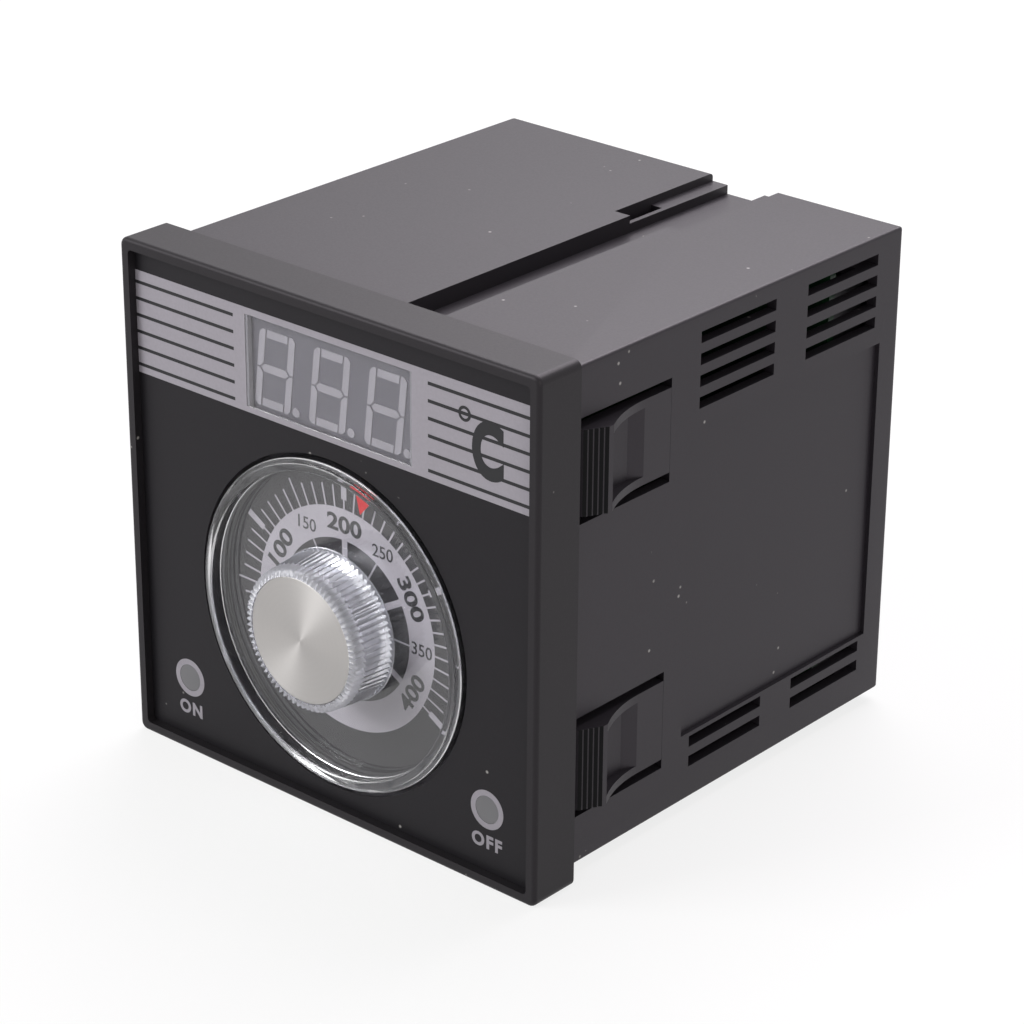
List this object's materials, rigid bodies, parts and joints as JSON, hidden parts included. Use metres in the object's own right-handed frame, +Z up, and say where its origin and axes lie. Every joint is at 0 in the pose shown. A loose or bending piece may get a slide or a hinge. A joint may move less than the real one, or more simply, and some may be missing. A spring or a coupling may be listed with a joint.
{
  "type": "panel oven temperature controller",
  "caption": "Square panel-mount oven temperature controller with a digital display, a clear dial knob over a printed scale, indicator lamps, snap clips and rear screw terminals.",
  "frame": {"origin": "middle of the part's footprint, on the plane under the bezel", "axes": "+Z up, -Y out of the front face, +X to the right seen from the front"},
  "size_m": [0.0974, 0.1064, 0.096],
  "materials": {
    "case_black": "fine-textured black moulding",
    "face_film": "printed film, satin black",
    "window_clear": "clear film window",
    "display_face": "grey display face",
    "display_segment": "off-white segments",
    "lamp_lens": "smoky lens",
    "led_clear": "clear lamp",
    "scale_print": "printed scale",
    "dial_clear": "clear moulded plastic",
    "cap_aluminium": "spun finish",
    "pointer_red": "red print",
    "shaft_aluminium": "turned",
    "pot_can": "plated can",
    "plated_steel": "zinc plated",
    "board_green": "glass-fibre board",
    "header_black": "black moulding",
    "core_iron": "laminated core",
    "coil_copper": "taped copper winding",
    "relay_blue": "blue relay case",
    "capacitor_sleeve": "sleeved can",
    "trimmer_blue": "blue trimmer",
    "terminal_black": "black moulding",
    "terminal_brass": "stamped brass"
  },
  "bodies": {
    "case": {"bezel": "case_black", "face_overlay": "face_film", "display_window": "window_clear", "display_module": "display_face", "display_segments": "display_segment", "on_lamp_lens": "lamp_lens", "off_lamp_lens": "lamp_lens", "indicator_leds": "led_clear", "scale_plate": "scale_print", "pot_body": "pot_can", "pot_washer": "plated_steel", "pot_nut": "plated_steel", "front_board": "board_green", "front_board_screws": "plated_steel", "main_board": "board_green", "board_header": "header_black", "transformer_core": "core_iron", "transformer_coil": "coil_copper", "relay": "relay_blue", "filter_capacitor": "capacitor_sleeve", "small_capacitors": "capacitor_sleeve", "rectifier_diodes": "header_black", "control_chips": "header_black", "trimmers": "trimmer_blue", "case_shell": "case_black", "rear_cover": "case_black", "terminal_board": "board_green", "terminal_board_screws": "plated_steel", "terminal_block_right": "terminal_black", "terminal_block_left": "terminal_black", "terminal_plates": "terminal_brass", "terminal_clamps": "plated_steel", "terminal_screws": "plated_steel"},
    "dial": {"dial_disc": "dial_clear", "knob_grip": "dial_clear", "knob_cap": "cap_aluminium", "dial_pointer": "pointer_red", "pot_shaft": "shaft_aluminium"},
    "clip_upper_right": {"clip_upper_right": "case_black"},
    "clip_lower_right": {"clip_lower_right": "case_black"},
    "clip_upper_left": {"clip_upper_left": "case_black"},
    "clip_lower_left": {"clip_lower_left": "case_black"}
  },
  "joints": [
    {"name": "dial_turn", "type": "hinge", "parent": "case", "child": "dial", "pos_m": [0, -0.04715, 0.0363], "axis": [0, 1, 0], "range_deg": [-138.5, 111.5]},
    {"name": "clip_upper_right_flex", "type": "hinge", "parent": "case", "child": "clip_upper_right", "pos_m": [0.04575, -0.01125, 0.0752], "axis": [0, 0, -1], "range_deg": [0, 9], "stiffness_Nm_per_rad": 0.6},
    {"name": "clip_lower_right_flex", "type": "hinge", "parent": "case", "child": "clip_lower_right", "pos_m": [0.04575, -0.01125, 0.0208], "axis": [0, 0, -1], "range_deg": [0, 9], "stiffness_Nm_per_rad": 0.6},
    {"name": "clip_upper_left_flex", "type": "hinge", "parent": "case", "child": "clip_upper_left", "pos_m": [-0.04575, -0.01125, 0.0752], "axis": [0, 0, 1], "range_deg": [0, 9], "stiffness_Nm_per_rad": 0.6},
    {"name": "clip_lower_left_flex", "type": "hinge", "parent": "case", "child": "clip_lower_left", "pos_m": [-0.04575, -0.01125, 0.0208], "axis": [0, 0, 1], "range_deg": [0, 9], "stiffness_Nm_per_rad": 0.6}
  ]
}
